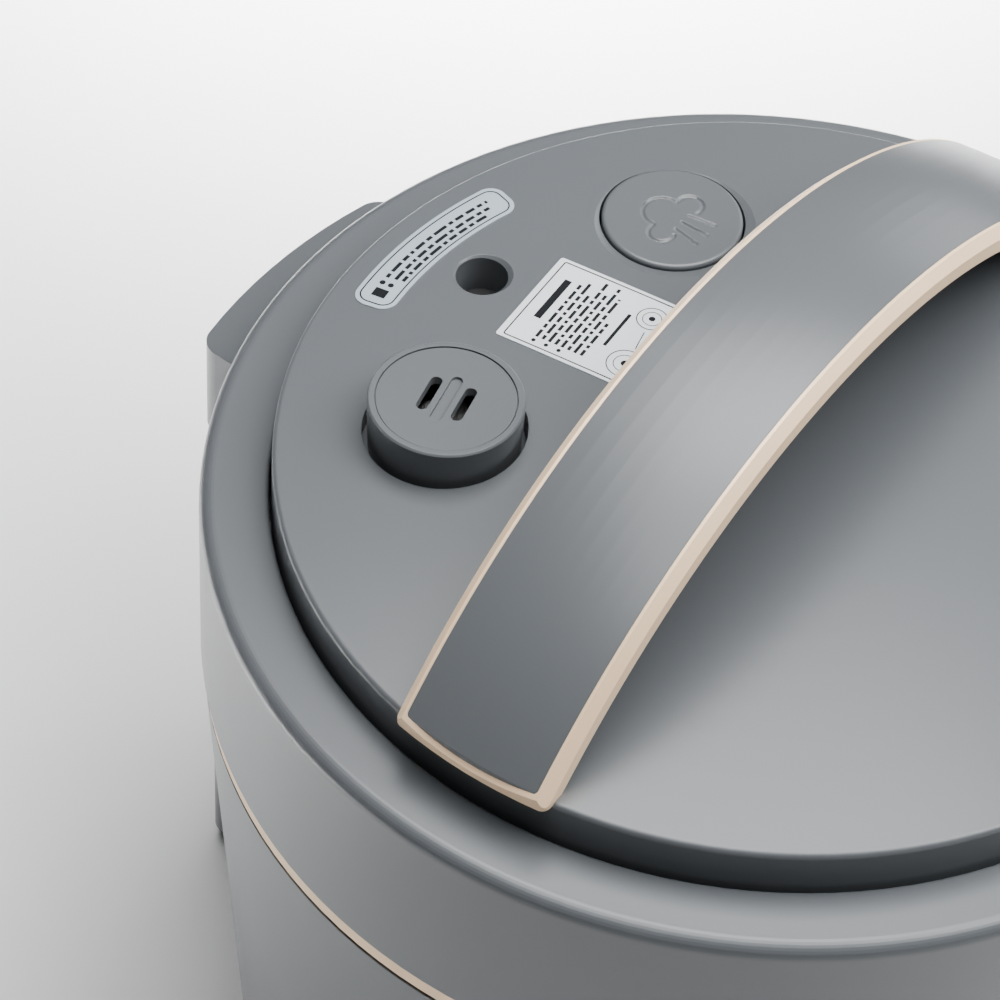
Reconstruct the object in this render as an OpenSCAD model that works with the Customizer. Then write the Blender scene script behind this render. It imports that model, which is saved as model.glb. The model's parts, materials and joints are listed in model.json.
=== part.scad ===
/* [Body] */
// Outer radius of the round body at its collar
body_r = 150; // [145:1:160]
// Height of the collar's flat top above the table
rim_h = 250; // [245:1:270]
// Height of the trim ring's upper edge below the collar's flat top
ring_drop = 55.6; // [50:0.2:60]
// Height of the trim ring
ring_t = 5.2; // [4:0.2:8]
// Height of the dark joint under the trim ring
joint_t = 1.5; // [1:0.1:3]
// Wall of the moulded covers
wall = 3; // [2.4:0.1:3.5]
// Radius of the soft edge on top of the collar
collar_round = 4; // [2:0.5:6]
// How much the lower body narrows in radius for each millimetre down
taper = 0.067; // [0.04:0.001:0.08]

/* [Rear spine] */
// Width of the spine at the back
spine_w = 79; // [72:1:84]
// Distance of the spine's curved face from the body's axis
spine_r = 169; // [165:0.5:170]
// Height of the spine's top below the collar's flat top
spine_drop = 23.5; // [20:0.5:32]
// Radius of the spine's upright corners
spine_round = 7; // [4:1:10]
// Turn of the spine away from the square position, in degrees
spine_turn = -1.5; // [-3:0.5:3]

/* [Lid] */
// Radius of the lid cover
lid_r = 130.9; // [128:0.1:133]
// Height of the lid's edge above the collar's flat top
lid_edge_h = 12.9; // [10:0.1:16]
// Rise of the lid's dome at its centre
lid_dome = 5; // [3:0.5:8]
// Width of the slit between the lid and the collar
lid_slit = 0.8; // [0.6:0.1:1.5]
// Turn of the valves and labels away from the square position, in degrees
fittings_turn = -3; // [-8:0.5:8]

/* [Handle] */
// Height of the handle's highest point above the collar's flat top
handle_top_h = 74; // [68:0.2:80]
// Radius of the handle's arch
handle_arch_r = 182.8; // [170:0.2:190]
// Thickness of the handle
handle_t = 12; // [10:0.5:14]
// Half the width of the handle's upper face
handle_half_w = 19.8; // [17:0.2:23]
// Width of the trim on each side of the handle
trim_w = 3.3; // [2.5:0.1:4]
// How far the handle's ends stand out past the lid's wall
handle_over = 3; // [1.5:0.1:3.5]

/* [Valves and button] */
// Distance of the exhaust valve from the lid's centre
valve_dist = 85.9; // [80:0.5:92]
// Radius of the exhaust valve's cap
cap_r = 20.8; // [18:0.1:22]
// Height of the exhaust cap's top above the collar's flat top
cap_top_h = 26.8; // [22:0.5:28]
// Distance of the exhaust button from the lid's centre
button_dist = 90.5; // [86:0.5:96]
// Radius of the exhaust button
button_r = 19.9; // [18:0.1:21]
// Angle between the exhaust valve and the pressure pin
valve_spread = 36.4; // [33:0.1:40]
// Angle between the exhaust button and the pressure pin
button_spread = 35.2; // [33:0.1:40]
// Distance of the pressure pin from the lid's centre
pin_dist = 99; // [96:0.5:101]
// Radius of the pressure pin's opening
pin_hole_r = 7.2; // [6.5:0.1:8]

/* [Cooking pot] */
// Inner radius of the steel liner
liner_r = 121.5; // [121:0.1:122]
// Outer radius of the inner pot's wall
pot_r = 112; // [108:0.5:112.5]
// Height of the heating plate's top above the table
plate_h = 70; // [68:1:74]
// Height of the inner pot's lip above the table
pot_top = 226; // [224:0.5:226.5]

/* [Front panel] */
// Half the angle that the control panel covers
panel_half_a = 27; // [24:1:32]
// Height of the control panel's lower edge
panel_low = 52; // [46:1:60]
// Height of the control panel's upper edge
panel_high = 168; // [160:1:174]
// Radius of a control key
key_r = 8; // [6:0.5:9]

/* [Feet] */
// Height of the rubber feet
foot_h = 5; // [4:0.5:8]
// Distance of the feet from the body's axis
foot_dist = 112; // [100:1:120]

/* [Hidden] */
$fn = 120;

// Smallest distance between pieces that move past each other
gap = 0.4;
// How far a cutter reaches past the solid that it cuts
over = 1;
grey = [0.56, 0.58, 0.60];
dark = [0.19, 0.21, 0.23];
gold = [0.90, 0.76, 0.64];
steel = [0.75, 0.76, 0.77];

ring_top = rim_h - ring_drop;
ring_low = ring_top - ring_t;
housing_top = ring_low - joint_t;
housing_low = foot_h + 3;
housing_r = body_r - 0.7;
housing_base_r = housing_r - taper * (housing_top - housing_low);
boss_r = housing_base_r - 7;
spine_top = rim_h - spine_drop;
collar_in_r = lid_r + lid_slit;
ledge_z = 229;
flange_t = 1.5;
liner_low = 46;
liner_t = 1.2;
liner_top = 240;
lug_count = 8;
lug_in_r = 119.2;
tooth_r = 118.6;
rack_low = 222;
rack_in_r = 104.2;
valve_floor_z = 257.4;
valve_gap = 1.1;
stopper_top = 231.4;
lid_plate_z = 237;
lid_plate_t = 1.6;
lid_plate_top = lid_plate_z + lid_plate_t;
lid_plate_r = 115;
lid_low = 234;
lid_edge = rim_h + lid_edge_h;
lid_top = lid_edge + lid_dome;
lid_round = 1.5;
arch_z = rim_h + handle_top_h - handle_arch_r;
handle_cut_r = lid_r + handle_over;
handle_drop = 0.6;
handle_top = rim_h + handle_top_h + 5;
handle_shell_t = 3.5;
handle_end_t = 1;
strap_r = handle_cut_r - handle_end_t;
strap_corner = 1;
trim_corner = 2.5;
crown_r = 178;
trim_ledge = 0.9;
trim_chamfer = 2.8;
trim_low = 7.6;
valve_a = 90 + fittings_turn + valve_spread;
button_a = 90 + fittings_turn - button_spread;
pin_a = 90 + fittings_turn;
valve_xy = valve_dist * [cos(valve_a), sin(valve_a)];
button_xy = button_dist * [cos(button_a), sin(button_a)];
pin_xy = pin_dist * [cos(pin_a), sin(pin_a)];
cap_top = rim_h + cap_top_h;
lever_top = 253.7;
lever_t = 5;
lever_mid = (valve_xy + button_xy) / 2;
lever_span = norm(button_xy - valve_xy);
lever_a = atan2(button_xy[1] - valve_xy[1], button_xy[0] - valve_xy[0]);
pivot_z = lever_top - lever_t / 2;
arc_label_in = 111.6;
arc_label_out = 124;
arc_label_half_a = 14.3;
arc_label_corner = 4.5;
inlet_z = 36;
inlet_y = spine_r - 0.6;
cup_low = 96;
cup_high = 176;
cup_w = 62;
key_z = 78;
key_step = 9;
key_depth = 5.6;
panel_out = 1.2;
window_half_a = 15;
window_low = 112;
window_high = 152;
board_y = -126.5;
post_list = [for (a = [35, 145, 215, 325]) 92 * [cos(a), sin(a)]];
handle_foot_list = [for (sx = [-1, 1], sy = [-1, 1]) [sx * 123.5, sy * 11]];

function arc(cx, cy, r, a0, a1, n = 8) =
    [for (i = [0:n]) let (a = a0 + (a1 - a0) * i / n) [cx + r * cos(a), cy + r * sin(a)]];

// Radius of the dome through the lid's centre and its soft edge
dome_r = (pow(lid_r - lid_round, 2) + pow(lid_dome, 2)) / (2 * lid_dome);
function dome_z(r) = lid_top - dome_r + sqrt(pow(dome_r, 2) - pow(r, 2));

// Meridian of the lid's outside, grown by g, from the centre to the foot of its wall
function lid_line(g = 0, foot = lid_low) = concat(
    [for (i = [0:12]) let (r = (lid_r - lid_round) * i / 12) [r, dome_z(r) + g]],
    arc(lid_r - lid_round, lid_edge - lid_round, lid_round + g, 80, 0, 6),
    [[lid_r + g, foot]]
);

module tube(r_in, r_out, z0, z1) {
    translate([0, 0, z0]) difference() {
        cylinder(r = r_out, h = z1 - z0);
        translate([0, 0, -over]) cylinder(r = r_in, h = z1 - z0 + 2 * over);
    }
}

module disc(r, z0, z1) {
    translate([0, 0, z0]) cylinder(r = r, h = z1 - z0);
}

module rounded(w, d, r) {
    square([w - 2 * r, d], center = true);
    square([w, d - 2 * r], center = true);
    for (sx = [-1, 1], sy = [-1, 1])
        translate([sx * (w / 2 - r), sy * (d / 2 - r)]) circle(r = r, $fn = 32);
}

// Turns its children with the spine, which they draw as if it stood square on +Y
module at_spine() {
    rotate([0, 0, spine_turn]) children();
}

// A tongue of width w from the axis along +y, ended by the circle of radius r with corners of radius c
module tongue_plan(r, w, c) {
    x = w / 2 - c;
    y = sqrt(pow(r - c, 2) - pow(x, 2));
    intersection() {
        circle(r = r);
        polygon([[0, 0], 2 * [x, y], 2 * [-x, y]]);
    }
    translate([-w / 2, 0]) square([w, y]);
    for (s = [-1, 1]) translate([s * x, y]) circle(r = c, $fn = 48);
}

// Plan of the spine, moved out by g and reaching inwards to the body's axis
module spine_plan(g = 0) {
    at_spine() tongue_plan(spine_r + g, spine_w + 2 * g, max(1, spine_round + g));
}

// Plan of the whole body: the circle of radius r and the spine moved out by g
module body_plan(r, g = 0) {
    circle(r = r);
    spine_plan(g);
}

// A slice of a ring, from angle a0 to a1 and height z0 to z1
module sector(r_in, r_out, a0, a1, z0, z1) {
    rotate([0, 0, a0]) rotate_extrude(angle = a1 - a0)
        translate([r_in, z0]) square([r_out - r_in, z1 - z0]);
}

// Outer radius of the tapered lower body at height z
function body_r_at(z) = housing_r - taper * (housing_top - z);

// A slice of the tapered body's wall, reaching from g_in to g_out outside its surface
module taper_sector(g_in, g_out, half_a, z0, z1) {
    rotate([0, 0, -90 - half_a]) rotate_extrude(angle = 2 * half_a) polygon([
        [body_r_at(z0) + g_in, z0], [body_r_at(z0) + g_out, z0],
        [body_r_at(z1) + g_out, z1], [body_r_at(z1) + g_in, z1]
    ]);
}

// Solid of the tapered body moved out by g, between heights z0 and z1
module taper_solid(g, z0, z1) {
    translate([0, 0, z0]) cylinder(r1 = body_r_at(z0) + g, r2 = body_r_at(z1) + g, h = z1 - z0);
}

// Puts its children at angle a on the front panel, with +Z pointing out of the body
module on_panel(a, z) {
    rotate([0, 0, -90 + a]) translate([body_r_at(z) + panel_out, 0, z])
        rotate([0, 90 + atan(taper), 0]) children();
}

module screw(head_r, shank_r, length, head_t = 2) {
    cylinder(r = head_r, h = head_t, $fn = 32);
    translate([0, 0, head_t]) cylinder(r = shank_r, h = length, $fn = 24);
}

// A coil of round wire, drawn as one swept solid with flat ends
module coil(mean_r, wire_r, z0, z1, turns, sides = 6, per_turn = 14) {
    n = turns * per_turn;
    rise = z1 - z0 - 2 * wire_r;
    pts = [for (i = [0:n], j = [0:sides - 1])
        let (a = 360 * i / per_turn, b = 360 * j / sides, r = mean_r + wire_r * cos(b))
        [r * cos(a), r * sin(a), z0 + wire_r + rise * i / n + wire_r * sin(b)]];
    walls = [for (i = [0:n - 1], j = [0:sides - 1])
        let (k = (j + 1) % sides)
        [i * sides + j, i * sides + k, (i + 1) * sides + k, (i + 1) * sides + j]];
    first = [for (j = [sides - 1:-1:0]) j];
    last = [for (j = [0:sides - 1]) n * sides + j];
    polyhedron(points = pts, faces = concat([first, last], [for (w = walls) [w[3], w[2], w[1], w[0]]]));
}

module lid_solid(g = 0, foot = lid_low) {
    rotate_extrude() polygon(concat([[0, foot]], lid_line(g, foot)));
}

// ---- body ----

module upper_collar() {
    color(grey) difference() {
        union() {
            rotate_extrude() polygon(concat(
                [[body_r - wall, ring_top], [body_r, ring_top]],
                arc(body_r - collar_round, rim_h - collar_round, collar_round, 0, 90, 8),
                arc(collar_in_r + 1, rim_h - 1, 1, 90, 180, 4),
                [[collar_in_r, ledge_z], [liner_r + 4, ledge_z], [liner_r + 4, ledge_z - wall]],
                [[collar_in_r + wall, ledge_z - wall], [collar_in_r + wall, rim_h - wall - 1]],
                [[body_r - wall, rim_h - wall - 1]]
            ));
            translate([0, 0, ring_top]) linear_extrude(spine_top - ring_top) difference() {
                spine_plan();
                circle(r = body_r - wall);
            }
        }
        translate([0, 0, ring_top - over]) linear_extrude(spine_top - ring_top - wall + over)
            difference() {
                spine_plan(-wall);
                circle(r = body_r);
            }
    }
}

module trim_ring() {
    color(gold) translate([0, 0, ring_low]) linear_extrude(ring_t) difference() {
        body_plan(body_r - 0.6, -0.6);
        body_plan(body_r - wall - 2, -wall - 2);
    }
}

module joint_gasket() {
    color(dark) translate([0, 0, housing_top]) linear_extrude(joint_t) difference() {
        body_plan(body_r - 2.4, -2.4);
        body_plan(body_r - wall - 2, -wall - 2);
    }
}

module lower_housing() {
    color(grey) difference() {
        union() {
            difference() {
                union() {
                    taper_solid(0, housing_low, housing_top);
                    translate([0, 0, housing_low]) linear_extrude(housing_top - housing_low) spine_plan(-1);
                }
                taper_solid(-wall, housing_low - over, housing_top + over);
                translate([0, 0, housing_low - over])
                    linear_extrude(housing_top - housing_low + 2 * over) spine_plan(-1 - wall);
            }
            for (a = [45:90:315]) rotate([0, 0, a]) translate([boss_r, 0, housing_low])
                difference() {
                    cylinder(r = 5.5, h = 22, $fn = 32);
                    translate([0, 0, -over]) cylinder(r = 1.9, h = 18, $fn = 24);
                }
            cup_pocket();
            at_spine() translate([-21, inlet_y - 4.4, inlet_z - 17]) cube([42, 4.4, 34]);
        }
        taper_sector(-2 * wall, wall, panel_half_a, panel_low, panel_high);
        at_spine() {
            translate([0, inlet_y, inlet_z]) rotate([90, 0, 0]) linear_extrude(4 * wall, center = true)
                rounded(30, 24, 3);
            translate([-cup_w / 2, spine_r - 26, cup_low]) cube([cup_w, 40, cup_high - cup_low]);
        }
    }
}

// Walls of the pocket in the spine that holds the condensate cup
module cup_pocket() {
    intersection() {
        at_spine() translate([-cup_w / 2 - 2, spine_r - 28, cup_low - 2])
            cube([cup_w + 4, 40, cup_high - cup_low + 4]);
        linear_extrude(rim_h) spine_plan(-2);
    }
}

module condensate_cup() {
    w = cup_w - 2 * gap;
    h = cup_high - cup_low - 2 * gap;
    color([0.70, 0.72, 0.74]) at_spine() difference() {
        intersection() {
            translate([-w / 2, spine_r - 25, cup_low + gap]) cube([w, 40, h]);
            disc(spine_r - 1.2, 0, rim_h);
        }
        translate([-w / 2 + 2, spine_r - 23, cup_low + gap + 2]) cube([w - 4, 16.5, h]);
        translate([0, spine_r, cup_high]) rotate([90, 0, 0]) cylinder(r = 13, h = 16, center = true);
    }
}

module base_plate() {
    color(dark) difference() {
        translate([0, 0, foot_h]) linear_extrude(housing_low - foot_h) body_plan(housing_base_r - 1, -2);
        for (a = [45:90:315]) rotate([0, 0, a]) translate([boss_r, 0, 0]) {
            cylinder(r = 2.2, h = 20, $fn = 24);
            translate([0, 0, foot_h - over]) cylinder(r = 4.2, h = 1.4 + over, $fn = 32);
        }
        for (x = [-50:12.5:50], y = [-22, 22]) translate([x - 2.5, y - 15, 0]) cube([5, 30, 20]);
    }
}

module base_screws() {
    color(steel) for (a = [45:90:315]) rotate([0, 0, a])
        translate([boss_r, 0, foot_h + 0.2]) screw(4, 1.8, 14, 1.2);
}

module feet() {
    color(dark) for (a = [0:90:270]) rotate([0, 0, a + 15]) translate([foot_dist, 0, 0])
        rotate_extrude() polygon([[0, 0], [11, 0], [12, 1], [12, foot_h], [0, foot_h]]);
}

// ---- heating ----

module outer_liner() {
    color(steel) difference() {
        union() {
            rotate_extrude() polygon(concat(
                [[0, liner_low], [liner_r - 8, liner_low]],
                arc(liner_r - 8, liner_low + 8 + liner_t, 8 + liner_t, -80, 0, 6),
                [[liner_r + liner_t, ledge_z], [collar_in_r - gap, ledge_z]],
                [[collar_in_r - gap, ledge_z + flange_t], [liner_r + liner_t, ledge_z + flange_t]],
                [[liner_r + liner_t, liner_top], [liner_r, liner_top]],
                arc(liner_r - 8, liner_low + 8 + liner_t, 8, 0, -90, 6),
                [[0, liner_low + liner_t]]
            ));
            for (i = [0:lug_count - 1]) sector(lug_in_r, liner_r + 0.6, 45 * i - 9, 45 * i + 9, 235, 239);
        }
        disc(4.6, 0, liner_low + 10);
        for (a = [30:120:270]) rotate([0, 0, a]) translate([60, 0, 0])
            cylinder(r = 2.2, h = liner_low + 10, $fn = 24);
    }
}

module liner_screws() {
    color(steel) for (a = [30:120:270]) rotate([0, 0, a])
        translate([60, 0, liner_low - 2]) screw(4, 2, 6, 2);
}

module heat_plate() {
    color([0.70, 0.71, 0.72]) difference() {
        union() {
            rotate_extrude() polygon([[0, 58], [92, 58], [95, 61], [95, plate_h - 2],
                [93, plate_h], [0, plate_h]]);
            for (a = [30:120:270]) rotate([0, 0, a]) translate([60, 0, liner_low + liner_t])
                cylinder(r = 6, h = 58 - liner_low - liner_t + 1, $fn = 48);
        }
        disc(9, 50, plate_h + over);
        for (a = [30:120:270]) rotate([0, 0, a]) translate([60, 0, liner_low])
            cylinder(r = 2.05, h = 8, $fn = 24);
    }
}

module heating_element() {
    color([0.45, 0.45, 0.47]) {
        rotate([0, 0, 20]) rotate_extrude(angle = 320) translate([78, 53.9]) circle(r = 4, $fn = 32);
        for (s = [-1, 1]) rotate([0, 0, s * 20]) translate([78, s * 2, 53.9])
            rotate([s * 90, 0, 0]) cylinder(r = 1.6, h = 14, $fn = 24);
    }
}

module thermal_fuse() {
    color([0.86, 0.84, 0.78]) translate([30, 0, liner_low + liner_t + 5]) {
        rotate([90, 0, 0]) cylinder(r = 3, h = 24, center = true, $fn = 32);
        for (s = [-1, 1]) translate([0, s * 10, -5]) cylinder(r = 1, h = 4, $fn = 24);
    }
}

module pressure_switch() {
    color(dark) translate([-24, -34, liner_low - 12]) {
        translate([-12, -8, 0]) cube([24, 16, 12]);
        for (s = [-1, 1]) translate([s * 6 - 0.5, -3, -5]) cube([1, 6, 6]);
    }
}

module temp_sensor() {
    color(steel) {
        disc(8.5, plate_h - 8, plate_h - gap);
        disc(4, liner_low - 2, plate_h - 8);
    }
}

module sensor_spring() {
    color(steel) coil(6.6, 0.7, liner_low + liner_t + 0.1, plate_h - 8.1, 5);
}

module inner_pot() {
    color(steel) rotate_extrude() polygon(concat(
        [[0, plate_h], [pot_r - 12, plate_h]],
        arc(pot_r - 12, plate_h + 12, 12, -80, 0, 8),
        [[pot_r, pot_top - 3], [pot_r + 5, pot_top - 1.5], [pot_r + 5, pot_top]],
        [[pot_r - 1.2, pot_top]],
        arc(pot_r - 12, plate_h + 12.6, 10.8, 0, -90, 8),
        [[0, plate_h + 1.8]]
    ));
}

// ---- electrics ----

module board_bracket() {
    color([0.30, 0.31, 0.33]) {
        for (sx = [-1, 1], sy = [-1, 1]) translate([sx * 44, 70 + sy * 26, housing_low])
            difference() {
                cylinder(r = 4, h = 12, $fn = 32);
                translate([0, 0, 4]) cylinder(r = 1.4, h = 12, $fn = 24);
            }
        difference() {
            translate([-48, 40, housing_low]) cube([96, 60, 2]);
            translate([-36, 50, 0]) cube([72, 40, 20]);
        }
    }
}

module power_board() {
    color([0.16, 0.36, 0.22]) translate([-50, 38, housing_low + 12]) cube([100, 64, 1.6]);
    color(dark) translate([-30, 50, housing_low + 13.6]) cube([24, 18, 16]);
    color([0.80, 0.62, 0.20]) translate([6, 52, housing_low + 13.6]) cube([20, 20, 18]);
    color([0.20, 0.25, 0.60]) for (x = [-34, -22, 34]) translate([x, 86, housing_low + 13.6])
        cylinder(r = 5, h = 14, $fn = 32);
}

module power_inlet() {
    color(dark) at_spine() translate([0, inlet_y, inlet_z]) rotate([90, 0, 0]) difference() {
        union() {
            translate([0, 0, wall + 0.2]) linear_extrude(22) rounded(29.4, 23.4, 3);
            translate([0, 0, -1.6]) linear_extrude(1.6) rounded(38, 30, 4);
            linear_extrude(wall + 0.3) rounded(29.4, 23.4, 3);
        }
        translate([0, 0, -2]) linear_extrude(19) rounded(24, 17, 3);
    }
}

module inlet_pins() {
    color(steel) at_spine() for (p = [[-7, -2], [0, 2], [7, -2]])
        translate([p[0] - 1, inlet_y - 29, inlet_z + p[1] - 2]) cube([2, 24, 4]);
}

module control_panel() {
    color(dark) difference() {
        taper_sector(-wall, panel_out, panel_half_a - 0.1, panel_low + 0.2, panel_high - 0.2);
        for (a = [-2:2]) on_panel(a * key_step, key_z) cylinder(r = key_r + 0.3, h = 30, center = true);
        taper_sector(-1, panel_out + over, window_half_a, window_low, window_high);
        taper_sector(-2 * wall, panel_out + over, window_half_a - 2, window_low + 4, window_high - 4);
    }
}

module display_window() {
    color([0.05, 0.06, 0.08]) taper_sector(-0.9, panel_out, window_half_a - 0.1,
        window_low + 0.1, window_high - 0.1);
}

module control_board() {
    plunger_r = body_r_at(key_z) + panel_out - key_depth - 1.5;
    color([0.16, 0.36, 0.22]) translate([-48, board_y, 62]) cube([96, 1.6, 96]);
    color(dark) translate([-26, board_y - 8, window_low + 2]) cube([52, 8, 36]);
    color(dark) for (a = [-2:2])
        translate([sin(a * key_step) * plunger_r, board_y, key_z]) rotate([90, 0, 0])
            cylinder(r = 3, h = plunger_r * cos(a * key_step) + board_y - 0.6 * abs(a), $fn = 32);
}

module key(a) {
    color([0.62, 0.64, 0.66]) on_panel(a * key_step, key_z) translate([0, 0, -key_depth])
        rotate_extrude() polygon([[0, 0], [key_r + 1.4, 0], [key_r + 1.4, 0.7], [key_r, 0.7],
            [key_r, key_depth + 0.4], [key_r - 0.6, key_depth + 1], [0, key_depth + 1]]);
}

module start_key() { key(0); }
module cancel_key() { key(-2); }
module menu_key() { key(2); }
module plus_key() { key(1); }
module minus_key() { key(-1); }

// ---- lid ----

module lid_cover() {
    color(grey) difference() {
        union() {
            difference() {
                lid_solid();
                translate([0, 0, -over]) rotate_extrude() polygon(concat([[0, lid_low - 5]],
                    [for (i = [0:12]) let (r = (lid_r - wall) * i / 12) [r, dome_z(r) - wall + over]],
                    [[lid_r - wall, lid_low - 5]]));
            }
            for (p = post_list) translate([p[0], p[1], lid_plate_top])
                cylinder(r = 5, h = lid_edge + 1 - lid_plate_top, $fn = 32);
            translate([pin_xy[0], pin_xy[1], 250]) cylinder(r = pin_hole_r + 1.6, h = 13);
            translate([valve_xy[0], valve_xy[1], valve_floor_z])
                cylinder(r = cap_r + 3, h = lid_edge - valve_floor_z);
            translate([button_xy[0], button_xy[1], 256])
                cylinder(r = button_r + gap + 1.6, h = lid_edge - 256);
        }
        for (p = post_list) translate([p[0], p[1], lid_plate_top - over])
            cylinder(r = 1.5, h = 14, $fn = 24);
        translate([valve_xy[0], valve_xy[1], valve_floor_z + 1.5]) cylinder(r = cap_r + valve_gap, h = 40);
        translate([valve_xy[0], valve_xy[1], 240]) cylinder(r = 12, h = 40);
        translate([button_xy[0], button_xy[1], 240]) cylinder(r = button_r + gap, h = 40);
        translate([button_xy[0], button_xy[1], dome_z(button_dist) - 1.1])
            cylinder(r1 = button_r + gap, r2 = button_r + 5.4, h = 2.5);
        translate([pin_xy[0], pin_xy[1], 240]) cylinder(r = pin_hole_r, h = 40);
        translate([pin_xy[0], pin_xy[1], dome_z(pin_dist) - 1])
            cylinder(r1 = pin_hole_r, r2 = pin_hole_r + 2.4, h = 2.4);
        for (p = handle_foot_list) translate([p[0], p[1], 200]) cylinder(r = 2, h = 80, $fn = 24);
    }
}

module lid_plate() {
    color(steel) difference() {
        union() {
            disc(lid_plate_r, lid_plate_z, lid_plate_top);
            tube(lid_plate_r - 1.2, lid_plate_r, 229, lid_plate_z + 0.5);
            for (i = [0:lug_count - 1])
                sector(lid_plate_r - 0.6, tooth_r, 45 * i + 13.5, 45 * i + 31.5, 229, 232);
        }
        disc(4.1, 230, 250);
        translate([valve_xy[0], valve_xy[1], 230]) cylinder(r = 5, h = 20, $fn = 48);
        translate([pin_xy[0], pin_xy[1], 230]) cylinder(r = 2.6, h = 20, $fn = 48);
        for (p = post_list) translate([p[0], p[1], 230]) cylinder(r = 1.8, h = 20, $fn = 24);
    }
}

module lid_screws() {
    color(steel) for (p = post_list) translate([p[0], p[1], lid_plate_z - 2]) screw(3.6, 1.4, 12, 2);
}

// Sweeps a flat section, given as radius and width, along the handle's arch
module along_arch() {
    translate([0, 0, arch_z]) rotate([90, 0, 0]) rotate([0, 0, 38]) rotate_extrude(angle = 104)
        children();
}

// Plan of the handle: a tongue to each side, ended at radius r
module handle_plan(r, half_w, c) {
    for (a = [-90, 90]) rotate([0, 0, a]) tongue_plan(r, 2 * half_w, c);
}

// Keeps the part of its child that stands on the lid, inside the handle's plan
module handle_part(r, half_w, c) {
    low = lid_edge - handle_drop;
    difference() {
        intersection() {
            children();
            translate([0, 0, low]) linear_extrude(handle_top - low) handle_plan(r, half_w, c);
        }
        lid_solid(0.05);
    }
}

// Radius of the strap's crowned upper face at distance y from its middle
function crown(y) = handle_arch_r - crown_r + sqrt(pow(crown_r, 2) - pow(y, 2));

module handle_holes() {
    for (p = handle_foot_list) translate([p[0], p[1], lid_edge - 10]) cylinder(r = 1.6, h = 16, $fn = 24);
}

module handle_strap() {
    low = handle_arch_r - handle_t + handle_shell_t;
    color(grey) difference() {
        handle_part(strap_r, handle_half_w, strap_corner) along_arch() polygon(concat(
            [[low, handle_half_w], [low, -handle_half_w]],
            [for (i = [-4:4]) let (y = handle_half_w * i / 4) [crown(y), y]]
        ));
        handle_holes();
    }
}

module handle_underside() {
    color(grey) difference() {
        handle_part(strap_r, handle_half_w, strap_corner) along_arch()
            translate([handle_arch_r - handle_t, -handle_half_w])
                square([handle_shell_t - 0.02, 2 * handle_half_w]);
        handle_holes();
    }
}

module handle_trim() {
    edge = crown(handle_half_w);
    ledge = handle_half_w + trim_ledge;
    outer = handle_half_w + trim_w;
    half = [
        [edge, ledge], [edge - trim_chamfer, outer], [edge - trim_low + 0.5, outer],
        [edge - trim_low, outer - 0.5]
    ];
    color(gold) difference() {
        handle_part(handle_cut_r, outer, trim_corner) along_arch() polygon(concat(
            half, [for (i = [3:-1:0]) [half[i][0], -half[i][1]]]
        ));
        linear_extrude(handle_top) handle_plan(strap_r, handle_half_w + 0.05, strap_corner);
    }
}

module handle_screws() {
    color(steel) for (p = handle_foot_list) translate([p[0], p[1], lid_edge - 6])
        screw(3.2, 1.5, 8, 3);
}

// Keeps the thin skin of its child that lies on the lid's dome
module on_dome(t) {
    intersection() {
        translate([0, 0, lid_edge - 10]) linear_extrude(30) children();
        difference() {
            lid_solid(t);
            lid_solid(0);
        }
    }
}

// Flat slice of a ring, reaching half_a degrees to each side of +X
module ring_slice(r_in, r_out, half_a) {
    difference() {
        circle(r = r_out);
        circle(r = r_in);
        for (s = [-1, 1]) rotate([0, 0, s * half_a]) translate([0, s * lid_r])
            square(2 * lid_r, center = true);
        translate([-lid_r, 0]) square(2 * lid_r, center = true);
    }
}

module arc_label() {
    middle = (arc_label_in + arc_label_out) / 2;
    r_in = arc_label_in + arc_label_corner;
    r_out = arc_label_out - arc_label_corner;
    color([0.78, 0.83, 0.87]) on_dome(0.3) rotate([0, 0, pin_a]) {
        ring_slice(arc_label_in, middle, arc_label_half_a - asin(arc_label_corner / r_in));
        ring_slice(middle, arc_label_out, arc_label_half_a - asin(arc_label_corner / r_out));
        ring_slice(r_in, r_out, arc_label_half_a);
        for (s = [-1, 1], r = [r_in, r_out])
            rotate([0, 0, s * (arc_label_half_a - asin(arc_label_corner / r))]) translate([r, 0])
                circle(r = arc_label_corner, $fn = 32);
    }
}

module square_label() {
    color([0.88, 0.90, 0.92]) on_dome(0.3) translate([-11.6, 82]) rotate([0, 0, 5.4])
        translate([17.6, -25]) rounded(35.2, 50, 0.8);
}

module exhaust_pipe() {
    color(steel) translate([valve_xy[0], valve_xy[1], 0]) difference() {
        union() {
            disc(5, 231, 262);
            disc(9, 233.5, lid_plate_z);
            disc(8, lid_plate_top, lid_plate_top + 3);
        }
        disc(2, 220, 270);
    }
}

module valve_weight() {
    color(steel) translate([valve_xy[0], valve_xy[1], 0]) rotate_extrude()
        polygon([[5.4, lever_top + 0.8], [10, lever_top + 0.8], [10, 266.5], [8, 268.5], [0, 268.5],
            [0, 262.3], [5.4, 262.3]]);
}

module exhaust_cap() {
    slot_w = 3.2;
    slot_step = 4.9;
    color(grey) translate([valve_xy[0], valve_xy[1], 0]) difference() {
        rotate_extrude() polygon([[0, cap_top - 0.3], [cap_r - 2.3, cap_top - 0.3],
            [cap_r - 2.3, cap_top - 0.8], [cap_r - 2, cap_top - 0.8], [cap_r - 2, cap_top],
            [cap_r - 0.5, cap_top], [cap_r, cap_top - 0.5], [cap_r - 0.6, valve_floor_z + 1.8],
            [cap_r - 2.6, valve_floor_z + 1.8], [cap_r - 2.2, cap_top - 3], [0, cap_top - 3]]);
        rotate([0, 0, -76]) {
            for (s = [-1, 1]) translate([s * slot_step, 0, cap_top - 10]) slot(slot_w, 12.6, 20);
            translate([0, 0, cap_top - 1.2]) slot(slot_w, 17, 20);
        }
    }
}

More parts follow.
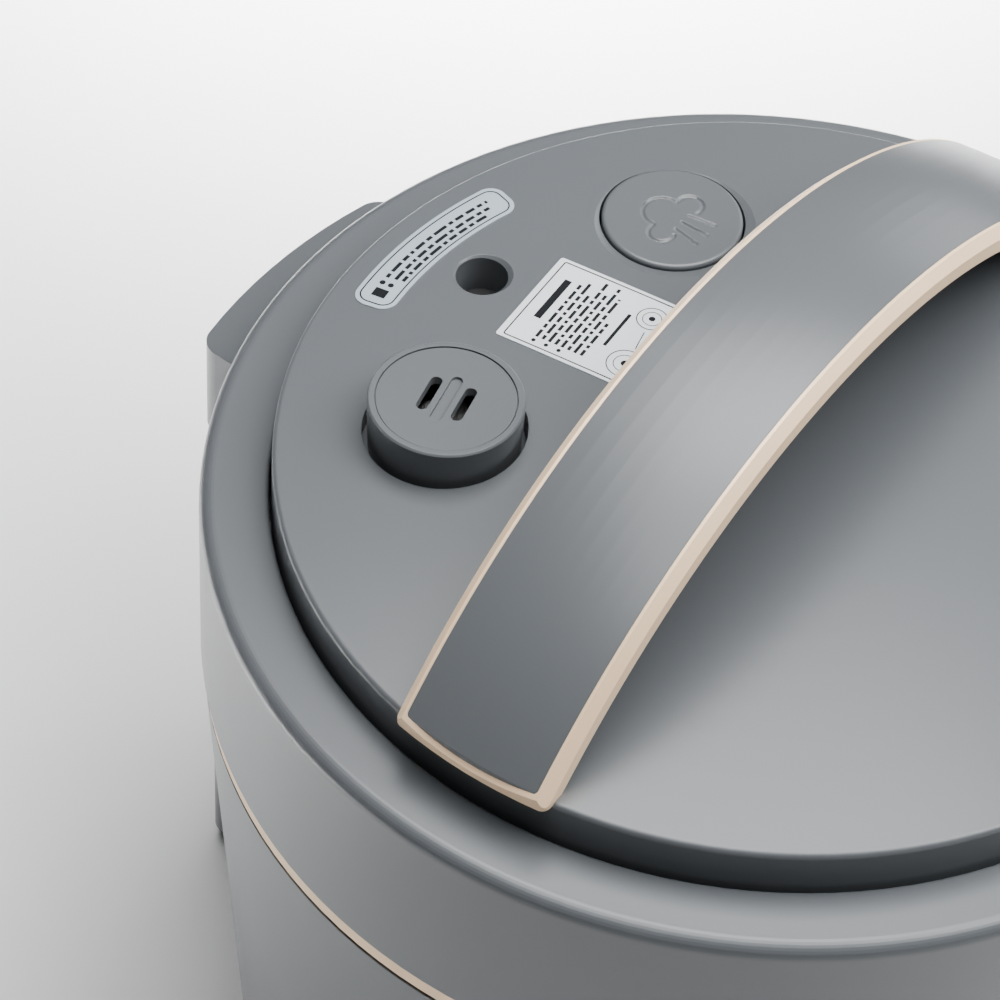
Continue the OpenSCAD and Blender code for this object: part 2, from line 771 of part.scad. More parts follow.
module slot(w, l, h) {
    linear_extrude(h) {
        square([w, l - w], center = true);
        for (s = [-1, 1]) translate([0, s * (l - w) / 2]) circle(r = w / 2, $fn = 32);
    }
}

module exhaust_button() {
    top = dome_z(button_dist);
    color(grey) translate([button_xy[0], button_xy[1], 0]) {
        rotate_extrude() polygon([[0, top - 8], [button_r, top - 8], [button_r, top - 0.8],
            [button_r - 0.8, top], [0, top]]);
        disc(4, lever_top + gap, top - 7);
        translate([0, 0, top - 0.5]) linear_extrude(0.9) steam_mark();
    }
}

// Three upright strokes under an arched stroke, as a plain sign for steam
module steam_mark() {
    for (x = [-3.6, 0, 3.6]) translate([x, -7]) square([0.8, 8], center = true);
    translate([0, 1]) difference() {
        circle(r = 8.4, $fn = 48);
        circle(r = 7.6, $fn = 48);
        translate([0, -10]) square(20, center = true);
    }
}

module button_spring() {
    color(steel) translate([button_xy[0], button_xy[1], 0])
        coil(5, 0.6, lid_plate_top + 0.1, lever_top - lever_t - 0.2, 3);
}

module vent_lever() {
    half = lever_span / 2;
    color([0.30, 0.31, 0.33]) difference() {
        translate([lever_mid[0], lever_mid[1], pivot_z]) rotate([0, 0, lever_a]) union() {
            translate([-half + 3, -5, -lever_t / 2]) cube([2 * half + 2, 10, lever_t]);
            translate([-half - 8, -9.5, -lever_t / 2]) cube([18, 19, lever_t]);
            rotate([90, 0, 0]) cylinder(r = 4, h = 10, center = true, $fn = 48);
        }
        translate([lever_mid[0], lever_mid[1], pivot_z]) rotate([0, 0, lever_a])
            rotate([90, 0, 0]) cylinder(r = 2.05, h = 12, center = true, $fn = 48);
        translate([valve_xy[0], valve_xy[1], 230]) cylinder(r = 6.4, h = 40, $fn = 48);
        translate([valve_xy[0], valve_xy[1], pivot_z]) rotate([0, 0, lever_a])
            translate([-20, -6.4, -10]) cube([20, 12.8, 20]);
    }
}

module lever_bracket() {
    color([0.30, 0.31, 0.33]) translate([lever_mid[0], lever_mid[1], 0]) rotate([0, 0, lever_a])
        difference() {
            union() {
                for (s = [-1, 1]) translate([-5, s * 7 - 1.5, lid_plate_top])
                    cube([10, 3, pivot_z + 4 - lid_plate_top]);
                translate([-5, -8.5, lid_plate_top]) cube([10, 17, 2]);
            }
            translate([0, 0, pivot_z]) rotate([90, 0, 0]) cylinder(r = 2, h = 30, center = true, $fn = 48);
        }
}

module lever_pin() {
    color(steel) translate([lever_mid[0], lever_mid[1], pivot_z]) rotate([0, 0, lever_a])
        rotate([90, 0, 0]) cylinder(r = 2, h = 19, center = true, $fn = 48);
}

module pressure_pin() {
    color(steel) translate([pin_xy[0], pin_xy[1], 0]) {
        disc(2.5, 226, 252);
        rotate_extrude() polygon([[0, 251], [6.2, 251], [6.2, 253.4], [5.4, 254.2], [0, 254.2]]);
    }
}

module pin_stopper() {
    color([0.75, 0.25, 0.20]) translate([pin_xy[0], pin_xy[1], 0]) difference() {
        disc(4, 227, stopper_top);
        disc(2.5, 220, 240);
    }
}

module anti_block_cover() {
    color(steel) translate([valve_xy[0], valve_xy[1], 0]) difference() {
        disc(14, 228.6, lid_plate_z);
        disc(12.8, 229.8, lid_plate_z + over);
        for (a = [0:30:330]) rotate([0, 0, a]) translate([8, -1.2, 231]) cube([10, 2.4, 4]);
    }
}

module sealing_ring() {
    color([0.85, 0.86, 0.86]) rotate_extrude() polygon([[105.6, 226.6], [113.2, 226.6], [113.2, 236.4],
        [106.2, 236.4], [106.2, 233], [109.4, 233], [109.4, 230.4], [106.2, 230.4], [106.2, 229],
        [105.6, 229]]);
}

module seal_rack() {
    color(steel) difference() {
        union() {
            tube(rack_in_r, 109.2, 230.8, 232.6);
            tube(rack_in_r, rack_in_r + 1.2, rack_low, 232.6);
            for (a = [30:120:270]) rotate([0, 0, a]) translate([0, -6, rack_low])
                cube([rack_in_r + 0.6, 12, 1.6]);
            disc(16, rack_low, rack_low + 1.6);
        }
        disc(4, 210, 230);
    }
}

module rack_pin() {
    color(steel) {
        disc(4, rack_low - 3, 242.4);
        disc(7, rack_low - 4, rack_low);
        disc(7, lid_plate_top + gap, 242.4);
    }
}

upper_collar();
trim_ring();
joint_gasket();
lower_housing();
base_plate();
base_screws();
feet();
outer_liner();
liner_screws();
heat_plate();
heating_element();
thermal_fuse();
pressure_switch();
temp_sensor();
sensor_spring();
inner_pot();
board_bracket();
power_board();
power_inlet();
inlet_pins();
condensate_cup();
control_panel();
display_window();
control_board();
start_key();
cancel_key();
menu_key();
plus_key();
minus_key();
lid_cover();
lid_plate();
lid_screws();
handle_strap();
handle_trim();
handle_underside();
handle_screws();
arc_label();
square_label();
exhaust_pipe();
valve_weight();
exhaust_cap();
exhaust_button();
button_spring();
vent_lever();
lever_bracket();
lever_pin();
pressure_pin();
pin_stopper();
anti_block_cover();
sealing_ring();
seal_rack();
rack_pin();
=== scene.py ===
"""Electric pressure cooker: camera, light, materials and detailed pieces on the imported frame."""
import json
import math
import bpy
import numpy as np
from mathutils import Matrix, Vector


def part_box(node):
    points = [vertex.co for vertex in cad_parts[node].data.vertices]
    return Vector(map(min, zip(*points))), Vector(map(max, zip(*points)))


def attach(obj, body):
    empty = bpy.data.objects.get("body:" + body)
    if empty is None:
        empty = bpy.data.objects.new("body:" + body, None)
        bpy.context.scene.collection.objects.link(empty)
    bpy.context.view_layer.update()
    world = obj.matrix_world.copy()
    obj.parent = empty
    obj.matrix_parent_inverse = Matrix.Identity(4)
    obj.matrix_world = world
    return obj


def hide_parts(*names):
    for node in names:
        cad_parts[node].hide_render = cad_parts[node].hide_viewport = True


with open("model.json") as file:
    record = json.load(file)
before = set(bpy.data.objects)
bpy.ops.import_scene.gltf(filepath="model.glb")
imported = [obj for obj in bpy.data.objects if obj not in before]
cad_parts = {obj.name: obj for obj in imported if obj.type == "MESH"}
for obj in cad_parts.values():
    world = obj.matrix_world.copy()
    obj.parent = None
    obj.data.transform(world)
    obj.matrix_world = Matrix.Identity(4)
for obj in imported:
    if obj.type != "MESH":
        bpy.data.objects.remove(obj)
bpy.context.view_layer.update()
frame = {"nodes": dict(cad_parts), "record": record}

NODES = frame["nodes"]
MM = 0.001
PANEL_TAPER = 0.067  # how much the panel leans out per unit of height
LABEL_TURN = math.radians(5.4)
LABEL_CORNER = (-11.6, 82.0)  # the square label's far left corner, in millimetres
ARC_MIDDLE = 117.8  # radius of the arc label's middle, in millimetres
FILM = 0.33  # height of the ink above the dome, in millimetres
WORDS = (3.1, 1.7, 4.2, 2.4, 1.2, 3.6, 2.0, 4.8, 1.5, 2.9)  # lengths of the dashes
SEGMENTS = {"0": "abcdef", "3": "abcdg"}  # the lit segments of a digit

# Driving sizes, read from the frame
COLLAR_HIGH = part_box("upper_collar")[1]
RIM_Z = COLLAR_HIGH.z
BODY_R = COLLAR_HIGH.x
LID_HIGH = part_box("lid_cover")[1]
LID_R = LID_HIGH.x
LID_TOP = LID_HIGH.z
LID_DOME = 5 * MM
LID_ROUND = 1.5 * MM
DOME_R = ((LID_R - LID_ROUND) ** 2 + LID_DOME ** 2) / (2 * LID_DOME)


def middle(node):
    """Centre of a CAD node's box."""
    low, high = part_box(node)
    return (low + high) / 2


def dome_z(x, y):
    """Height of the lid's dome above a point of the table."""
    return LID_TOP - DOME_R + math.sqrt(DOME_R ** 2 - x * x - y * y)


# ---- camera and light ----

def point_at(obj, target, roll=0.0):
    """Turns a camera or light at its place so that it looks at the target."""
    forward = (Vector(target) - obj.location).normalized()
    right = forward.cross(Vector((0, 0, 1))).normalized()
    up = right.cross(forward)
    turned = math.cos(roll) * right - math.sin(roll) * up
    lifted = math.sin(roll) * right + math.cos(roll) * up
    basis = Matrix((turned, lifted, -forward)).transposed()
    obj.rotation_mode = "QUATERNION"
    obj.rotation_quaternion = basis.to_quaternion()


def direction(azimuth, elevation):
    """Unit vector from the object towards an angle: azimuth 0 is the front, 90 the right."""
    a, e = math.radians(azimuth), math.radians(elevation)
    return Vector((math.sin(a) * math.cos(e), -math.cos(a) * math.cos(e), math.sin(e)))


def make_camera():
    """The photograph's camera: a long lens, high and to the front left."""
    aim = Vector((-0.3136 * BODY_R, 0.3536 * BODY_R, RIM_Z))
    azimuth, elevation, roll = -56.13, 47.69, -3.81
    distance = 7.1756 * BODY_R
    data = bpy.data.cameras.new("camera")
    data.lens = 147.2
    data.sensor_width = 36.0
    data.clip_start = 0.05
    camera = bpy.data.objects.new("camera", data)
    bpy.context.scene.collection.objects.link(camera)
    camera.location = aim + direction(azimuth, elevation) * distance
    point_at(camera, aim, math.radians(roll))
    bpy.context.scene.camera = camera


def area_light(name, azimuth, elevation, distance, size, power, target=None, spread=180):
    """A soft lamp of the given size, metres and watts, that looks at its target."""
    data = bpy.data.lights.new(name, "AREA")
    data.shape = "RECTANGLE"
    data.size, data.size_y = size
    data.energy = power
    data.spread = math.radians(spread)
    light = bpy.data.objects.new(name, data)
    bpy.context.scene.collection.objects.link(light)
    target = Vector(target or (0, 0, RIM_Z))
    light.location = target + direction(azimuth, elevation) * distance
    point_at(light, target)


def make_lights():
    """Two large keys, two fills, and two narrow lamps over the floor beside the cooker."""
    lamp_height = floor_spot = 0.75
    area_light("key_high", 34, 89, 1.1, (1.0, 1.0), 19)
    area_light("key_front", 34, 50, 1.2, (0.8, 0.8), 18)
    area_light("far_fill", 124, 72, 0.9, (0.5, 0.5), 5.5)
    area_light("right_side", 90, 20, 1.3, (0.8, 0.6), 3.8)
    for name, azimuth, power in (("sweep_left", -150, 10), ("sweep_back", 130, 14)):
        spot = direction(azimuth, 0) * floor_spot
        area_light(name, azimuth, 89.9, lamp_height, (0.5, 0.5), power, target=spot, spread=50)
    world = bpy.data.worlds.new("studio")
    world.use_nodes = True
    background = world.node_tree.nodes["Background"]
    background.inputs["Color"].default_value = (0.86, 0.93, 1.0, 1)
    background.inputs["Strength"].default_value = 0.02
    bpy.context.scene.world = world


# ---- materials ----

def new_material(name):
    """Returns a new material with its nodes, its links and its main shader."""
    m = bpy.data.materials.new(name)
    m.use_nodes = True
    return m, m.node_tree.nodes, m.node_tree.links, m.node_tree.nodes["Principled BSDF"]


def link_noise(nodes, links, vector, scale, detail, rough=0.55):
    """Noise between 0 and 1, about 1 / scale metres from blot to blot."""
    n = nodes.new("ShaderNodeTexNoise")
    n.inputs["Scale"].default_value = scale
    n.inputs["Detail"].default_value = detail
    n.inputs["Roughness"].default_value = rough
    links.new(vector, n.inputs["Vector"])
    return n.outputs["Fac"]


def link_range(nodes, links, value, low, high):
    """Maps the middle of a noise's range to low and high."""
    r = nodes.new("ShaderNodeMapRange")
    r.inputs["From Min"].default_value = 0.3
    r.inputs["From Max"].default_value = 0.7
    r.inputs["To Min"].default_value = low
    r.inputs["To Max"].default_value = high
    links.new(value, r.inputs["Value"])
    return r.outputs["Result"]


def link_colours(nodes, links, factor, first, second):
    """Mixes two colours by a factor."""
    m = nodes.new("ShaderNodeMix")
    m.data_type = "RGBA"
    m.inputs["A"].default_value = (*first, 1)
    m.inputs["B"].default_value = (*second, 1)
    links.new(factor, m.inputs["Factor"])
    return m.outputs["Result"]


def link_bump(nodes, links, height, depth, strength, rounding):
    """Fine relief on top of edges rounded by a radius; depth and rounding are in metres."""
    b = nodes.new("ShaderNodeBump")
    b.inputs["Distance"].default_value = depth
    b.inputs["Strength"].default_value = strength
    links.new(height, b.inputs["Height"])
    if rounding:
        e = nodes.new("ShaderNodeBevel")
        e.samples = 4
        e.inputs["Radius"].default_value = rounding
        links.new(e.outputs["Normal"], b.inputs["Normal"])
    return b.outputs["Normal"]


def ring_vector(nodes, links):
    """Coordinates for marks that run round the object's axis: angle coarse, the rest fine."""
    across, round_axis = 6000.0, 3.0
    coords = nodes.new("ShaderNodeTexCoord").outputs["Object"]
    flat = nodes.new("ShaderNodeVectorMath")
    flat.operation = "MULTIPLY"
    flat.inputs[1].default_value = (1, 1, 0)
    links.new(coords, flat.inputs[0])
    length = nodes.new("ShaderNodeVectorMath")
    length.operation = "LENGTH"
    links.new(flat.outputs["Vector"], length.inputs[0])
    split = nodes.new("ShaderNodeSeparateXYZ")
    links.new(coords, split.inputs["Vector"])
    turn = nodes.new("ShaderNodeMath")
    turn.operation = "ARCTAN2"
    links.new(split.outputs["Y"], turn.inputs[0])
    links.new(split.outputs["X"], turn.inputs[1])
    join = nodes.new("ShaderNodeCombineXYZ")
    for socket, value, factor in (
        ("X", length.outputs["Value"], across),
        ("Y", turn.outputs["Value"], round_axis),
        ("Z", split.outputs["Z"], across),
    ):
        m = nodes.new("ShaderNodeMath")
        m.operation = "MULTIPLY"
        m.inputs[1].default_value = factor
        links.new(value, m.inputs[0])
        links.new(m.outputs["Value"], join.inputs[socket])
    return join.outputs["Vector"]


def grained(name, cloud_scale, detail, grain_scale, colours, roughs, depth, rounding=0.0):
    """Material with a cloudy colour and roughness and a fine relief; lengths are in metres."""
    m, nodes, links, bsdf = new_material(name)
    coords = nodes.new("ShaderNodeTexCoord").outputs["Object"]
    cloud = link_noise(nodes, links, coords, cloud_scale, detail)
    fine = link_noise(nodes, links, coords, grain_scale, 2.0)
    links.new(link_colours(nodes, links, cloud, *colours), bsdf.inputs["Base Color"])
    links.new(link_range(nodes, links, cloud, *roughs), bsdf.inputs["Roughness"])
    links.new(link_bump(nodes, links, fine, depth, 1.0, rounding), bsdf.inputs["Normal"])
    return m, bsdf


def shade(colour, factor):
    """A colour made darker or paler by a factor."""
    return tuple(min(1, c * factor) for c in colour)


def moulded(name, colour, rough=0.42, vary=0.02, grain=0.45, depth=0.006, coat=0.0, rounding=0.35):
    """Fine-textured moulded or sprayed plastic; grain, depth and rounding are in millimetres."""
    colours = shade(colour, 1 - vary), shade(colour, 1 + vary)
    roughs = rough - 0.01, rough + 0.01
    m, bsdf = grained(name, 14.0, 4.0, 1000 / grain, colours, roughs, depth * MM, rounding * MM)
    bsdf.inputs["Coat Weight"].default_value = coat
    bsdf.inputs["Coat Roughness"].default_value = 0.25
    return m


def coated_metal(name, colour, rough, metallic):
    """Smooth coloured metal coating with a trace of orange peel."""
    colours = colour, shade(colour, 1.06)
    roughs = rough - 0.04, rough + 0.04
    m, bsdf = grained(name, 40.0, 3.0, 1250.0, colours, roughs, 0.002 * MM, 0.3 * MM)
    bsdf.inputs["Metallic"].default_value = metallic
    return m


def soft_rubber(name, colour, rough=0.6):
    """Dull rubber with a coarse grain and soft edges."""
    colours = colour, shade(colour, 1.25)
    roughs = rough - 0.06, rough + 0.08
    return grained(name, 60.0, 4.0, 1600.0, colours, roughs, 0.02 * MM, 0.4 * MM)[0]


def printed_film(name, colour, rough=0.35, gloss=0.5):
    """Thin printed foil or ink, a little cloudy."""
    colours = shade(colour, 0.94), colour
    roughs = rough, rough + 0.12
    m, bsdf = grained(name, 90.0, 4.0, 3000.0, colours, roughs, 0.004 * MM)
    bsdf.inputs["Specular IOR Level"].default_value = gloss
    return m


def turned_metal(name, colour, rough=0.3, depth=0.006):
    """Sheet or turned metal with fine marks running round its axis."""
    m, nodes, links, bsdf = new_material(name)
    marks = link_noise(nodes, links, ring_vector(nodes, links), 1.0, 4.0, 0.7)
    dark = shade(colour, 0.86)
    links.new(link_colours(nodes, links, marks, dark, colour), bsdf.inputs["Base Color"])
    links.new(link_range(nodes, links, marks, rough - 0.08, rough + 0.1), bsdf.inputs["Roughness"])
    links.new(link_bump(nodes, links, marks, depth * MM, 0.6, 0.2 * MM), bsdf.inputs["Normal"])
    bsdf.inputs["Metallic"].default_value = 1.0
    return m


def glowing(name, colour):
    """Lit display segment, a little uneven from edge to edge."""
    m, nodes, links, bsdf = new_material(name)
    coords = nodes.new("ShaderNodeTexCoord").outputs["Object"]
    cloud = link_noise(nodes, links, coords, 300.0, 2.0)
    dark = shade(colour, 0.8)
    links.new(link_colours(nodes, links, cloud, dark, colour), bsdf.inputs["Emission Color"])
    bsdf.inputs["Base Color"].default_value = (*colour, 1)
    bsdf.inputs["Emission Strength"].default_value = 2.2
    return m


def make_materials():
    """All finishes by name; most names are the material slots of the CAD record."""
    grey = (0.097, 0.105, 0.113)
    return {
        "grey_shell": moulded("grey_shell", grey, 0.29, rounding=0.25),
        "rose_gold": coated_metal("rose_gold", (1.0, 0.70, 0.45), 0.36, 0.15),
        "black_plastic": moulded("black_plastic", (0.020, 0.021, 0.023), 0.48, grain=0.6),
        "rubber": soft_rubber("rubber", (0.016, 0.016, 0.017)),
        # The pin is made near black so that its hole reads dark all through: this colour is painted
        # shade of the hole, given with the rubber finish.
        "pin_painted_shade": soft_rubber("pin_painted_shade", (0.003, 0.003, 0.004), 0.8),
        "steel": turned_metal("steel", (0.62, 0.62, 0.61)),
        "aluminium": turned_metal("aluminium", (0.70, 0.70, 0.71), 0.45, depth=0.012),
        "element": coated_metal("element", (0.10, 0.095, 0.09), 0.5, 0.8),
        "ceramic": moulded("ceramic", (0.72, 0.69, 0.62), 0.7),
        "board": moulded("board", (0.015, 0.09, 0.035), 0.35, coat=0.4),
        "cup": moulded("cup", (0.40, 0.42, 0.44), 0.35),
        "window": moulded("window", (0.006, 0.006, 0.008), 0.08, grain=2.0, depth=0.0005, coat=1.0),
        "key": moulded("key", (0.33, 0.35, 0.37), 0.4),
        "label_blue": printed_film("label_blue", (0.37, 0.43, 0.48)),
        "label_white": printed_film("label_white", (0.74, 0.77, 0.80)),
        "silicone": soft_rubber("silicone", (0.58, 0.59, 0.59), 0.5),
        "stopper": soft_rubber("stopper", (0.36, 0.03, 0.02), 0.5),
        "brass": turned_metal("brass", (0.60, 0.42, 0.16), 0.35),
        "ink": printed_film("ink", (0.004, 0.005, 0.007), 0.6, 0.2),
        "pale_ink": printed_film("pale_ink", (0.50, 0.52, 0.54), 0.45),
        "glow": glowing("glow", (0.55, 0.85, 1.0)),
    }


def dress_nodes(materials):
    """Gives every CAD node its finish."""
    for part in frame["record"]["subparts"]:
        mesh = NODES[part["node"]].data
        mesh.materials.clear()
        # The pressure pin gets the near-black painted shade of its hole in place of its recorded
        # finish.
        finish = "pin_painted_shade" if part["node"] == "pressure_pin" else part["material_slot"]
        mesh.materials.append(materials[finish])


# ---- printed and engraved details ----

def add_piece(name, points, faces, material, body, smooth=False):
    """Makes a mesh piece, in metres, that rides on a body."""
    mesh = bpy.data.meshes.new(name)
    mesh.from_pydata(points, [], faces)
    mesh.update()
    if smooth:
        mesh.polygons.foreach_set("use_smooth", [True] * len(mesh.polygons))
    piece = bpy.data.objects.new(name, mesh)
    bpy.context.scene.collection.objects.link(piece)
    mesh.materials.append(material)
    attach(piece, body)
    return piece


class Print:
    """Flat marks gathered on a surface: place(u, v) turns millimetres of the print into a point."""

    def __init__(self, place):
        self.place = place
        self.points = []
        self.faces = []

    def quad(self, corners):
        """One flat face with the given (u, v) corners."""
        start = len(self.points)
        self.points += [self.place(u, v) for u, v in corners]
        self.faces.append(tuple(range(start, start + len(corners))))

    def line(self, path, width, closed=False):
        """A band of even width along a path of (u, v) points."""
        n = len(path)
        sides = []
        for i, (u, v) in enumerate(path):
            before = path[i - 1] if i or closed else path[i]
            after = path[(i + 1) % n] if i < n - 1 or closed else path[i]
            du, dv = after[0] - before[0], after[1] - before[1]
            size = math.hypot(du, dv) or 1.0
            nu, nv = -dv / size * width / 2, du / size * width / 2
            sides.append(((u + nu, v + nv), (u - nu, v - nv)))
        for i in range(n if closed else n - 1):
            a, b = sides[i], sides[(i + 1) % n]
            self.quad([a[0], a[1], b[1], b[0]])

    def bar(self, u0, u1, v, height, step=3.0):
        """A level bar in steps short enough to follow a curved surface."""
        n = max(1, math.ceil(abs(u1 - u0) / step))
        self.line([(u0 + (u1 - u0) * i / n, v) for i in range(n + 1)], height)

    def words(self, u0, u1, v, height, lengths, space=0.9):
        """A row of plain dashes, as long as the given lengths in turn, from u0 to u1."""
        sign = 1 if u1 > u0 else -1
        u, i = u0, 0
        while (u1 - u) * sign > 0.6:
            end = u + sign * min(lengths[i % len(lengths)], abs(u1 - u))
            self.bar(u, end, v, height)
            u, i = end + sign * space, i + 1

    def ring(self, u, v, radius, width, steps=36):
        """A thin circle."""
        turn = [2 * math.pi * i / steps for i in range(steps)]
        path = [(u + radius * math.cos(a), v + radius * math.sin(a)) for a in turn]
        self.line(path, width, closed=True)

    def dot(self, u, v, radius, steps=20):
        """A filled circle."""
        turn = [2 * math.pi * i / steps for i in range(steps)]
        self.quad([(u + radius * math.cos(a), v + radius * math.sin(a)) for a in turn])

    def finish(self, name, material, body, slot):
        """Makes the gathered marks into one piece."""
        add_piece(name, self.points, self.faces, material, body)


def rounded_path(low, high, corner, steps=6, part=4.0):
    """Closed path round a rectangle with rounded corners, cut into short lengths."""
    (u0, v0), (u1, v1) = low, high
    path = []
    corners = ((u1, v1, 0), (u0, v1, 90), (u0, v0, 180), (u1, v0, 270))
    for u, v, start in corners:
        cu = u - corner if u == u1 else u + corner
        cv = v - corner if v == v1 else v + corner
        for i in range(steps + 1):
            a = math.radians(start + 90 * i / steps)
            path.append((cu + corner * math.cos(a), cv + corner * math.sin(a)))
    full = []
    for i, here in enumerate(path):
        after = path[(i + 1) % len(path)]
        n = max(1, math.ceil(math.dist(here, after) / part))
        full += [(here[0] + (after[0] - here[0]) * k / n, here[1] + (after[1] - here[1]) * k / n)
                 for k in range(n)]
    return full


def make_square_print(ink):
    """Border, title bar, rows of dashes and two plain rings on the square label."""
    left, far = LABEL_CORNER

    def place(u, v):
        x = (left + u * math.cos(LABEL_TURN) - v * math.sin(LABEL_TURN)) * MM
        y = (far + u * math.sin(LABEL_TURN) + v * math.cos(LABEL_TURN)) * MM
        return (x, y, dome_z(x, y) + FILM * MM)

    art = Print(place)
    art.line(rounded_path((1.2, -48.2), (34.0, -1.9), 0.6), 0.4, closed=True)
    art.bar(11, 28, -6.4, 2.1)
    for v in (-10.1, -14.0, -17.9):
        art.dot(3.1, v, 0.62)
    for i, end in enumerate((28.9, 31.2, 25.6, 32.7, 28.3, 32.4, 28.8, 18.9)):
        art.words(4.6, end, -10.1 - 1.97 * i, 0.95, WORDS[i % 4:] + WORDS[:i % 4])
    art.bar(11.3, 25.3, -27.2, 1.0)
    for u, v, radius in ((27.0, -33.0, 4.2), (8.3, -35.3, 5.0)):
        art.ring(u, v, radius, 0.3)
        art.ring(u, v, radius * 0.62, 0.24)
        art.dot(u, v, radius * 0.22)
    art.line([(14.5, -35), (16.5, -34.6), (19, -34.2), (21.4, -33.8)], 0.3)
    for i in range(5):
        art.words(4.6, 31.0 - 2.1 * i, -42.0 - 1.2 * i, 0.5, WORDS[i:] + WORDS[:i], 0.7)
    art.finish("square_label_print", ink, "lid", "label_white")


def make_arc_print(ink):
    """Border, two dots and three curved rows of dashes on the arc label, centred on the pin."""
    pin = middle("pressure_pin")
    start = math.atan2(pin.y, pin.x)

    def place(u, v):
        a = start + u / ARC_MIDDLE
        x, y = v * math.cos(a) * MM, v * math.sin(a) * MM
        return (x, y, dome_z(x, y) + FILM * MM)

    degree = math.degrees(1 / ARC_MIDDLE)
    art = Print(place)
    half = 13.6 / degree
    art.line(rounded_path((-half, 112.9), (half, 122.7), 3.2, part=2.0), 0.4, closed=True)
    for v in (119.2, 116.6):
        art.dot(9.6 / degree, v, 0.85)
    rows = ((8.5, -11.4, 119.2), (8.3, -10.8, 116.7), (8.1, -9.4, 114.6))
    for i, (u0, u1, v) in enumerate(rows):
        art.words(u0 / degree, u1 / degree, v, 1.1, WORDS[i + 1:] + WORDS[:i + 1], 1.0)
    art.bar(10.7 / degree, 12.3 / degree, 117.7, 4.0, 1.0)
    art.finish("arc_label_print", ink, "lid", "label_blue")


def steam_paths():
    """Our own cloud over three strokes, in millimetres from the button's centre."""
    lobes = ((0.0, 3.4, 5.6, -8, 188), (-6.9, -1.0, 3.6, 78, 292), (6.9, -1.0, 3.6, -112, 102))
    paths = []
    for cu, cv, radius, low, high in lobes:
        turn = [math.radians(low + (high - low) * i / 24) for i in range(25)]
        paths.append([(cu + radius * math.cos(a), cv + radius * math.sin(a)) for a in turn])
    paths += [[(-3.3, -3.2), (-4.6, -11.0)], [(0, -3.2), (0, -11.4)], [(3.3, -3.2), (4.6, -11.0)]]
    return paths


def path_distance(points, paths):
    """Distance from each point to the nearest of some polylines."""
    best = np.full(len(points), 1e9)
    for path in paths:
        for a, b in zip(path[:-1], path[1:]):
            a, b = np.array(a), np.array(b)
            run = b - a
            t = np.clip(((points - a) @ run) / (run @ run), 0, 1)
            best = np.minimum(best, np.linalg.norm(points - a - t[:, None] * run, axis=1))
    return best


def make_button(material):
    """Exhaust button with a soft edge and the engraved steam sign."""
    low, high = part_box("exhaust_button")
    centre = middle("exhaust_button")
    radius = (high.x - low.x) / 2 / MM - 0.25
    top = dome_z(centre.x, centre.y) / MM
    foot = low.z / MM
    sign_r, edge, skirt, stem_r = 13.8, 1.1, 8.0, 4.0
    rings = [(0.3 * i, 0.0) for i in range(1, 47)]
    rings += [(sign_r + (radius - edge - sign_r) * i / 8, 0.0) for i in range(1, 9)]
    for turn in (math.radians(a) for a in (20, 40, 60, 80, 90)):
        rings.append((radius - edge + edge * math.sin(turn), edge * math.cos(turn) - edge))
    rings += [(radius, -skirt), (stem_r, -skirt), (stem_r, foot - top), (0.6, foot - top)]
    steps = 168
    turn = np.arange(steps) * 2 * math.pi / steps
    flat = np.array([[(r * math.cos(a), r * math.sin(a)) for a in turn] for r, _ in rings])
    away = path_distance(flat.reshape(-1, 2), steam_paths()).reshape(len(rings), steps)
    groove = 0.5 * (1 - np.clip((away - 0.3) / 0.45, 0, 1)) ** 2
    points = [(centre.x, centre.y, top * MM)]
    for i, (r, drop) in enumerate(rings):
        for k in range(steps):
            dip = groove[i, k] if r < 14.5 and drop == 0 else 0.0
            x, y = flat[i, k]
            points.append((centre.x + x * MM, centre.y + y * MM, (top + drop - dip) * MM))
    faces = [(0, 1 + k, 1 + (k + 1) % steps) for k in range(steps)]
    for i in range(len(rings) - 1):
        a, b = 1 + i * steps, 1 + (i + 1) * steps
        faces += [(a + k, b + k, b + (k + 1) % steps, a + (k + 1) % steps) for k in range(steps)]
    last = 1 + (len(rings) - 1) * steps
    faces.append(tuple(last + steps - 1 - k for k in range(steps)))
    piece = add_piece("button_with_sign", points, faces, material, "button", True)
    piece.data.set_sharp_from_angle(angle=math.radians(35))
    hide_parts("exhaust_button")


def panel_place(height):
    """Places marks on the curved front panel: u is round the body, v is up, in millimetres."""
    low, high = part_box("display_window")
    mid_z = (low.z + high.z) / 2 / MM
    radius = -low.y / MM - (high.z - low.z) / 2 / MM * PANEL_TAPER

    def place(u, v):
        r = radius + (v - mid_z) * PANEL_TAPER + height
        a = u / radius
        return (r * math.sin(a) * MM, -r * math.cos(a) * MM, v * MM)

    return place


def make_display(glow):
    """Clock digits of seven plain segments, and small status dots, on the display window."""
    art = Print(panel_place(0.08))
    w, h, foot, gap = 7.0, 13.0, 125.5, 0.5
    lines = {"a": (0, h, w, h), "b": (w, h / 2, w, h), "c": (w, 0, w, h / 2), "d": (0, 0, w, 0),
             "e": (0, 0, 0, h / 2), "f": (0, h / 2, 0, h), "g": (0, h / 2, w, h / 2)}
    for left, digit in ((-20.5, "0"), (-11.0, "0"), (4.0, "3"), (13.5, "0")):
        for name in SEGMENTS[digit]:
            u0, v0, u1, v1 = lines[name]
            size = math.hypot(u1 - u0, v1 - v0)
            du, dv = (u1 - u0) / size * gap, (v1 - v0) / size * gap
            art.line([(left + u0 + du, foot + v0 + dv), (left + u1 - du, foot + v1 - dv)], 1.3)
    for v in (foot + 3.5, foot + 9.5):
        art.dot(0, v, 0.8)
    for i in range(5):
        art.dot(-20 + 10 * i, 118, 0.7)
    art.finish("display_digits", glow, "base", "window")


